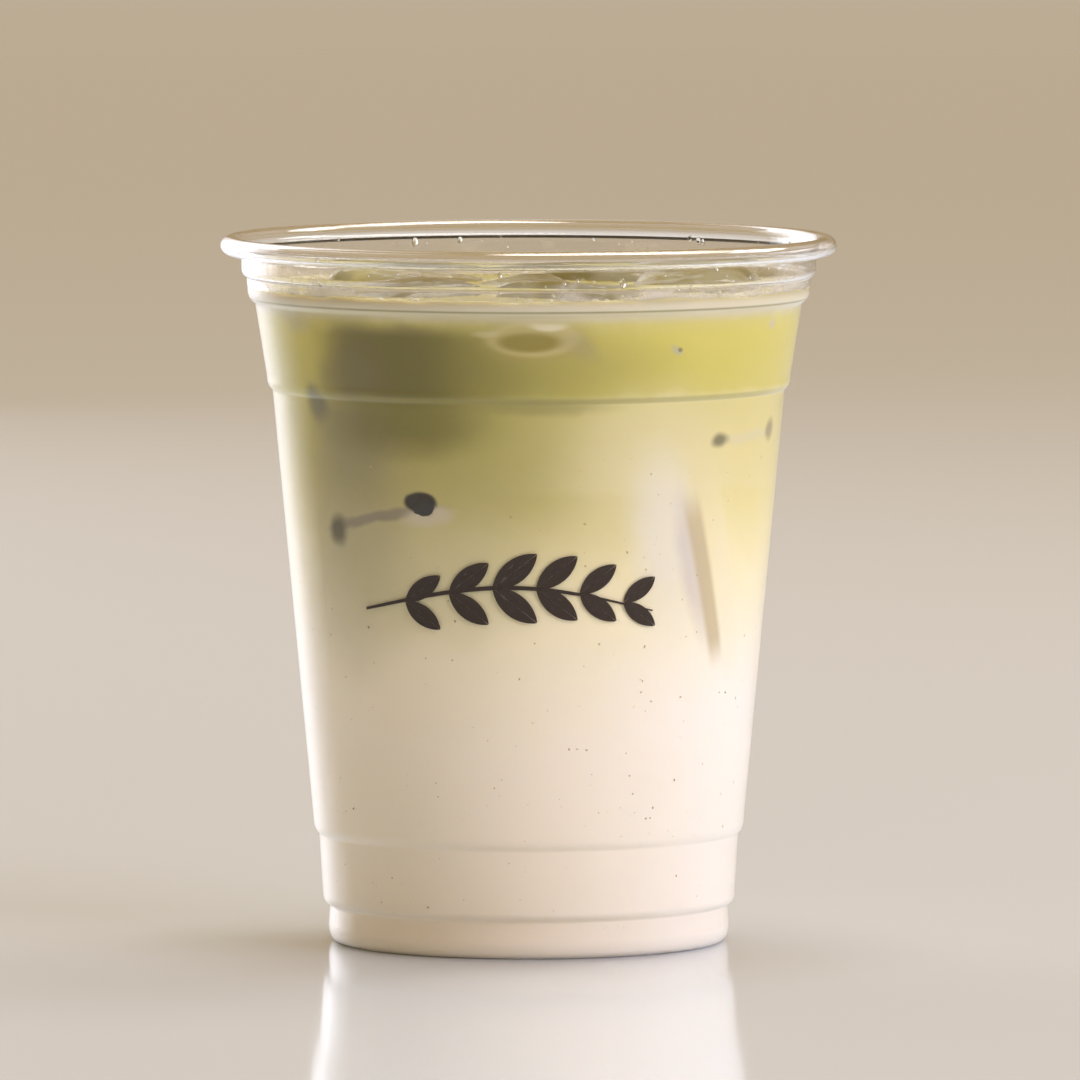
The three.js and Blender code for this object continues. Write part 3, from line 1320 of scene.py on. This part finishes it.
@dataclass(frozen=True)
class WallFilm:
    """The milky film and the drops on the inner side of the wall, over the drink."""

    outline: CupOutline
    finish: DryingMilk = DryingMilk()
    drop_finish: MeltWater = MeltWater()
    heights: Place = (104.0, 109.0)
    thick: float = 0.04
    steps: int = 192
    drops: int = 90
    drop_heights: Place = (104.6, 110.0)
    drop_sizes: Place = (0.12, 0.55)  # radius in mm
    seed: int = 41

    def build(self) -> Piece:
        """Turns a thin skin that lies against the wall."""
        depth = self.outline.sheet + 0.03
        low, high = self.heights
        path = [place for place in self.outline.inside(depth) if low < place[1] < high]
        film = turned("milk_film", [p for p in path if p[0] > self.outline.foot_outer], self.steps)
        apply_modifier(film, "SOLIDIFY", thickness=self.thick * MM, offset=0.0)
        hand_over(film, self.finish, Slot.MILK)
        return film

    def build_drops(self) -> Piece:
        """Models one flat drop and scatters it over the wall above the drink."""
        draw = random.Random(self.seed)
        bpy.ops.object.select_all(action="DESELECT")
        bpy.ops.mesh.primitive_ico_sphere_add(subdivisions=2, radius=1.0)
        drop = added("drop")
        places = []
        for _ in range(self.drops):
            angle, up = draw.uniform(-180, 180), draw.uniform(*self.drop_heights)
            low, high = self.drop_sizes
            radius = low + (high - low) * draw.random() ** 3
            face = Euler((0.0, 0.0, math.radians(angle))).to_matrix().to_4x4()
            shape = Vector((radius, 0.45 * radius, radius * draw.uniform(1.0, 1.6))) * MM
            spot = Matrix.Translation(self.outline.at(angle, up, self.outline.sheet + 0.02))
            places.append(spot @ face @ Matrix.Diagonal((*shape, 1.0)))
        drops = scattered("wall_drops", drop, places)
        hand_over(drops, self.drop_finish, Slot.ICE)
        return drops


@dataclass(frozen=True)
class SprigPrint:
    """A plain printed tea sprig on the front of the cup."""

    outline: CupOutline
    finish: ScreenPrintInk = ScreenPrintInk()
    middle: Place = (-3.0, 55.2)  # along X and up, in mm
    length: float = 45.0
    rise: float = 4.0  # of the stem's arch, in mm
    stem: float = 0.7  # thickness in mm
    leaf: Place = (9.0, 3.8)  # length and width in mm
    leaf_angle: float = 38.0
    vein: float = 0.035  # half the bare midrib, as a share of the leaf's width
    pairs: int = 6
    thick: float = 0.03
    front: float = -60.0  # Y of the flat artwork before it is pressed on the wall, in mm

    def stem_at(self, share: float) -> Vector:
        """A place along the stem, in mm, by its share of the length from the left."""
        along, up = self.middle
        x = along + (share - 0.5) * self.length
        return Vector((x, self.front, up + self.rise * math.sin(math.pi * share)))

    def half_leaf(self) -> Piece:
        """Models half a leaf of unit size, flat, from a filled circle cut in two."""
        bpy.ops.object.select_all(action="DESELECT")
        bpy.ops.mesh.primitive_circle_add(vertices=48, radius=0.5, fill_type="NGON")
        half = added("half_leaf")
        bpy.ops.object.mode_set(mode="EDIT")
        bpy.ops.mesh.select_all(action="SELECT")
        bpy.ops.mesh.bisect(plane_co=(0, self.vein, 0), plane_no=(0, 1, 0), clear_inner=True)
        bpy.ops.object.mode_set(mode="OBJECT")

        def pointed(place: Vector) -> Vector:
            """Draws the ends of the circle out to points."""
            taper = max(0.0, 1 - (2 * place.x) ** 2) ** 0.35
            return Vector((place.x + 0.5, place.y * taper, 0.0))

        reshape(half, pointed)
        return half

    def leaf_at(self, half: Piece, share: float, side: int) -> list[Piece]:
        """Lays the two halves of a leaf.

        Args:
            half: The half leaf to copy.
            share: Where on the stem it grows.
            side: 1 above the stem and -1 below it.

        Returns:
            The two halves.
        """
        root = self.stem_at(share) + Vector((0.8, 0.0, 0.0))
        grown = 1.0 - 0.7 * abs(share - 0.45)
        turn = Matrix.Rotation(math.radians(90), 4, "X")
        lean = Matrix.Rotation(math.radians(self.leaf_angle * side), 4, "Z")
        halves = []
        for mirror in (1, -1):
            length, width = self.leaf
            size = Matrix.Diagonal((length * grown, width * grown * mirror, 1.0, 1.0))
            laid = Matrix.Scale(MM, 4) @ Matrix.Translation(root) @ turn @ lean @ size
            piece = copy_of(half, "half_leaf")
            reshape(piece, lambda place, laid=laid: laid @ place)
            halves.append(piece)
        return halves

    def stem_line(self) -> Piece:
        """Models the stem from a long thin grid, bent to its arch."""
        bpy.ops.object.select_all(action="DESELECT")
        bpy.ops.mesh.primitive_grid_add(x_subdivisions=60, y_subdivisions=1, size=1)
        stem = added("stem")

        def bent(place: Vector) -> Vector:
            """Lays a place of the grid along the arch."""
            share = place.x + 0.5
            width = self.stem * max(0.35, 1 - 0.55 * (2 * share - 0.8) ** 2)
            return (self.stem_at(share) + Vector((0.0, 0.0, place.y * width))) * MM

        reshape(stem, bent)
        return stem

    def build(self, cup: Piece) -> Piece:
        """Lays out the stem and its leaves and presses them on the wall.

        Args:
            cup: The cup that carries the print.

        Returns:
            The print.
        """
        half = self.half_leaf()
        parts = [self.stem_line()]
        for i in range(self.pairs):
            share = 0.12 + 0.76 * i / (self.pairs - 1)
            parts += self.leaf_at(half, share, 1) + self.leaf_at(half, share, -1)
        bpy.data.objects.remove(half)
        sprig = joined(parts, "printed_sprig")
        select_only(sprig)
        bpy.ops.object.mode_set(mode="EDIT")
        bpy.ops.mesh.select_all(action="SELECT")
        bpy.ops.mesh.quads_convert_to_tris()
        bpy.ops.mesh.subdivide(number_cuts=1)
        bpy.ops.mesh.normals_make_consistent(inside=False)
        bpy.ops.object.mode_set(mode="OBJECT")
        apply_modifier(
            sprig,
            "SHRINKWRAP",
            target=cup,
            wrap_method="PROJECT",
            use_project_y=True,
            use_positive_direction=True,
            use_negative_direction=False,
            offset=0.02 * MM,
        )
        apply_modifier(sprig, "SOLIDIFY", thickness=self.thick * MM, offset=0.0)
        hand_over(sprig, self.finish, Slot.CLEAR_PLASTIC)
        return sprig


@dataclass(frozen=True)
class Lamp:
    """A soft box, by where it stands and what it gives."""

    name: str
    angle: float  # round the cup, in degrees
    lift: float  # over the cup's middle, in degrees
    far: float  # in metres
    size: Place  # width and height in metres
    watts: float
    colour: str
    mirrored: bool = True  # whether gloss shows it
    layers: int = 1  # boxes of falling width that it is made of, to soften its sides


@dataclass(frozen=True)
class Studio:
    """A pale floor, soft boxes and the camera."""

    board: CoatedBoard = CoatedBoard()
    floor_out: float = 30.0  # radius in metres
    aim: tuple[float, float, float] = (0.0, 0.0, 0.06)
    lamps: tuple[Lamp, ...] = (
        Lamp("key", 57.0, 26.0, 1.3, (0.9, 1.1), 14.9, "#e6e1f6", False),
        Lamp("rim", -146.0, 14.0, 1.1, (1.15, 0.9), 6.4, "#eef1ff", layers=5),
        Lamp("top", 150.0, 58.0, 1.4, (0.9, 0.5), 6.0, "#fff4ea"),
        Lamp("edge", 126.0, 42.0, 1.2, (0.5, 0.3), 3.0, "#ffffff"),
    )
    layer_gap: float = 0.01  # between the layers of a soft box, in metres
    daylight: float = 1.7  # on the floor, in watts per square metre
    daylight_soft: float = 30.0  # how wide it comes in, in degrees
    daylight_lift: float = 84.0
    air: str = "#ffdeaa"
    air_strength: float = 0.445
    camera_place: tuple[float, float, float] = (0.0018, -2.3, 0.2388)
    camera_pitch: float = -4.35
    lens: float = 483.0
    sensor: float = 36.0

    def floor(self) -> None:
        """Lays the floor, just under the foot."""
        bpy.ops.object.select_all(action="DESELECT")
        bpy.ops.mesh.primitive_circle_add(
            vertices=96, radius=self.floor_out, fill_type="NGON", location=(0, 0, -0.05 * MM)
        )
        floor = added("floor")
        floor.data.materials.append(self.board.material())

    def light(self, lamp: Lamp) -> None:
        """Sets up one soft box, in layers that all give the same light from each spot.

        Args:
            lamp: Where it stands and what it gives.
        """
        turn, lift = math.radians(lamp.angle), math.radians(lamp.lift)
        level = math.cos(lift)
        way = Vector((math.sin(turn) * level, -math.cos(turn) * level, math.sin(lift)))
        shares = [1 - layer / lamp.layers for layer in range(lamp.layers)]
        for layer, share in enumerate(shares):
            data = bpy.data.lights.new(lamp.name, "AREA")
            data.shape = "RECTANGLE"
            data.size, data.size_y = lamp.size[0] * share, lamp.size[1]
            data.energy = lamp.watts * share / sum(shares)
            data.color = linear(lamp.colour)[:3]
            box = bpy.data.objects.new(lamp.name, data)
            bpy.context.scene.collection.objects.link(box)
            box.location = Vector(self.aim) + way * (lamp.far - layer * self.layer_gap)
            box.rotation_euler = way.to_track_quat("Z", "Y").to_euler()
            box.visible_camera = False
            box.visible_glossy = lamp.mirrored
            box.visible_transmission = lamp.mirrored

    def surroundings(self) -> None:
        """Sets the light that comes from over the floor and from all round."""
        data = bpy.data.lights.new("daylight", "SUN")
        data.energy = self.daylight
        data.angle = math.radians(self.daylight_soft)
        sun = bpy.data.objects.new("daylight", data)
        bpy.context.scene.collection.objects.link(sun)
        sun.rotation_euler = (math.radians(self.daylight_lift - 90), 0.0, 0.0)
        sun.visible_glossy = False
        sun.visible_transmission = False
        world = bpy.data.worlds.new("studio_air")
        world.use_nodes = True
        back = world.node_tree.nodes["Background"]
        back.inputs["Color"].default_value = linear(self.air)
        back.inputs["Strength"].default_value = self.air_strength
        bpy.context.scene.world = world

    def camera(self) -> None:
        """Sets up the camera at the height and angle of the photograph."""
        data = bpy.data.cameras.new("camera")
        data.lens = self.lens
        data.sensor_width = self.sensor
        data.clip_end = 100.0
        camera = bpy.data.objects.new("camera", data)
        bpy.context.scene.collection.objects.link(camera)
        camera.location = self.camera_place
        camera.rotation_euler = (math.radians(90 + self.camera_pitch), 0.0, 0.0)
        bpy.context.scene.camera = camera

    def build(self) -> None:
        """Sets up the studio."""
        self.camera()
        self.floor()
        self.surroundings()
        for lamp in self.lamps:
            self.light(lamp)
        bpy.context.scene.view_settings.view_transform = "Standard"


def wall_marks_and_painted_light() -> tuple[Mark, ...]:
    """The patches on the side of the drink: swirls, ice against the wall, and painted shade, painted
    shadows and painted highlights round the ice.
    """
    # Swirls of milk and matcha, with painted shade: the left and middle of the drink darkened olive, and
    # the milk low on the left warmed, as it is in shade.
    swirls_and_painted_shade = (
        Mark(-22.0, 26.0, 84.0, 74.0, "#faedcf", 0.6, 1.2),
        Mark(-16.0, 84.0, 62.0, 40.0, "#a39c52", 0.42, 1.2),
        Mark(-10.0, 80.0, 28.0, 24.0, "#9f9858", 0.35, 1.2),
        Mark(-45.0, 74.0, 22.0, 30.0, "#9a9268", 0.5, 1.0),
        Mark(-48.0, 60.0, 22.0, 26.0, "#b7b391", 0.55, 1.2),
        Mark(-44.0, 82.0, 13.0, 17.0, "#98926c", 0.7, 1.5),
        Mark(-58.0, 101.0, 7.0, 5.0, "#b9b28e", 0.7, 0.9),
        Mark(-22.0, 60.0, 30.0, 18.0, "#c6c090", 0.5, 1.2),
        Mark(46.0, 81.5, 52.0, 15.6, "#e2d8a6", 0.4, 1.2, edge=0.3),
        Mark(30.0, 76.0, 24.0, 22.0, "#e8dfb4", 0.5, 1.6),
    )
    # Painted shadow of the front left cube on the drink, with a yellow-olive fringe along its top, and a
    # painted shade line under the step in the wall.
    front_left_ice_shadow_and_step_shade = (
        Mark(-34.0, 96.0, 34.0, 14.0, "#cdbf45", 0.6, 1.2),
        Mark(-10.0, 94.4, 42.0, 12.0, "#8f8632", 0.6, 1.4),
        Mark(-32.5, 94.3, 21.0, 11.8, "#665f10", 0.85, 1.1, edge=0.6),
        Mark(-22.0, 94.0, 24.0, 10.8, "#6c6416", 0.55, 1.3, edge=0.7),
        Mark(-41.0, 92.4, 10.0, 10.0, "#7b7048", 0.5, 1.5),
        Mark(-31.0, 84.6, 26.0, 9.0, "#706a26", 0.5, 1.3),
        Mark(-26.0, 85.2, 18.0, 9.6, "#6c651c", 0.55, 1.2),
        Mark(-54.6, 87.0, 4.6, 5.6, "#787659", 0.85, 1.2),
        Mark(2.7, 87.5, 18.0, 2.4, "#8d864a", 0.5, 1.2),
        Mark(14.0, 88.6, 84.0, 0.8, "#98904e", 0.5, 0.6, edge=1.0, ragged=False),
    )
    # Where the front cube touches the wall: a pale ring of milk round a dark core, which is painted
    # shade seen through the clear ice, with a painted highlight above it and a painted shadow to its
    # lower right.
    front_ice_contact_shade_and_highlight = (
        Mark(1.4, 98.5, 16.0, 7.4, "#a89a4c", 0.6, 0.6, ragged=False),
        Mark(1.0, 98.6, 13.0, 5.6, "#cbbe80", 0.7, 0.4, ragged=False),
        Mark(0.6, 98.4, 10.6, 4.4, "#b1a45c", 0.9, 0.5, ragged=False),
        Mark(4.0, 100.2, 5.4, 1.3, "#e3dcb8", 0.9, 1.0),
        Mark(-8.8, 99.2, 3.4, 1.0, "#d0c592", 0.5, 1.2),
        Mark(0.2, 98.0, 8.8, 3.0, "#8d8026", 0.95, 0.6, ragged=False),
        Mark(11.0, 97.0, 5.5, 3.6, "#a3976a", 0.45, 1.2, -30.0),
    )
    # Where the sunk cube's edge touches the wall: two dark windows of painted shade, seen through the
    # clear ice, joined by a grey streak with a pale halo.
    sunk_ice_window_shade = (
        Mark(-37.4, 69.7, 20.0, 1.7, "#8a7f70", 0.75, 1.0, 10.0),
        Mark(-24.0, 70.2, 8.0, 2.6, "#d2c7b4", 0.65, 1.0, 10.0),
        Mark(-25.6, 72.2, 4.9, 3.2, "#2c230e", 1.0, 0.4),
        Mark(-50.4, 67.4, 4.2, 3.8, "#5a5438", 0.9, 1.2),
    )
    # Corners of sunk cubes at the wall: dark spots of painted shade seen through the ice, beside a pale
    # streak.
    ice_corner_shade_and_streak = (
        Mark(60.5, 81.9, 16.0, 1.8, "#cfc9ae", 0.4, 1.2, 4.0),
        Mark(48.8, 81.4, 3.2, 2.2, "#655e3e", 0.85, 1.3),
        Mark(71.6, 82.6, 3.2, 3.2, "#7b6d4c", 0.7, 1.2, 12.0),
    )
    small_bubbles = (
        Mark(33.4, 96.7, 1.9, 1.2, "#b5b18b", 0.8, 0.9, -25.0),
        Mark(34.1, 96.9, 0.7, 0.7, "#6f6a44", 0.8, 1.0),
        Mark(62.8, 99.7, 1.2, 2.0, "#c2bba2", 0.8, 0.9),
    )
    # A sunk cube's face near the wall: a pale patch, a painted shadow and a tan wedge of painted shade
    # to its right, and a cream strip at the right.
    sunk_face_and_painted_shadow = (
        Mark(34.5, 66.0, 11.0, 24.0, "#e6e2d2", 0.7, 1.2, 12.0),
        Mark(42.6, 62.0, 5.4, 22.0, "#cfc6bb", 0.75, 1.0, 19.0),
        Mark(47.2, 59.6, 3.4, 25.0, "#c3b389", 0.85, 0.9, 19.0, 0.5, False),
        Mark(54.0, 59.0, 5.0, 26.0, "#eee5c4", 0.45, 0.7, 19.0, 1.4, False),
    )
    return swirls_and_painted_shade + front_left_ice_shadow_and_step_shade + front_ice_contact_shade_and_highlight + sunk_ice_window_shade + ice_corner_shade_and_streak + small_bubbles + sunk_face_and_painted_shadow


def main() -> None:
    """Builds the sub-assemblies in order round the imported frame."""
    logging.basicConfig(level=logging.INFO, format="%(message)s")
    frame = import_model()
    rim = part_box("cup")[1]
    outline = CupOutline(rim_out=rim.x / MM - INSIDE, height=rim.z / MM - INSIDE)

    Studio().build()
    cup = ClearCup(outline).build()
    ice = IceLoad(outline, frame["nodes"])
    ice.build()
    latte = LayeredLatte(outline, LayeredDrink(marks=wall_marks_and_painted_light()))
    latte.build(ice)
    ice.dress(latte.room())
    MatchaSpecks(outline).build()
    Froth(outline).build(ice.floating.values())
    film = WallFilm(outline)
    film.build()
    film.build_drops()
    SprigPrint(outline).build(cup)


if __name__ == "__main__":
    main()
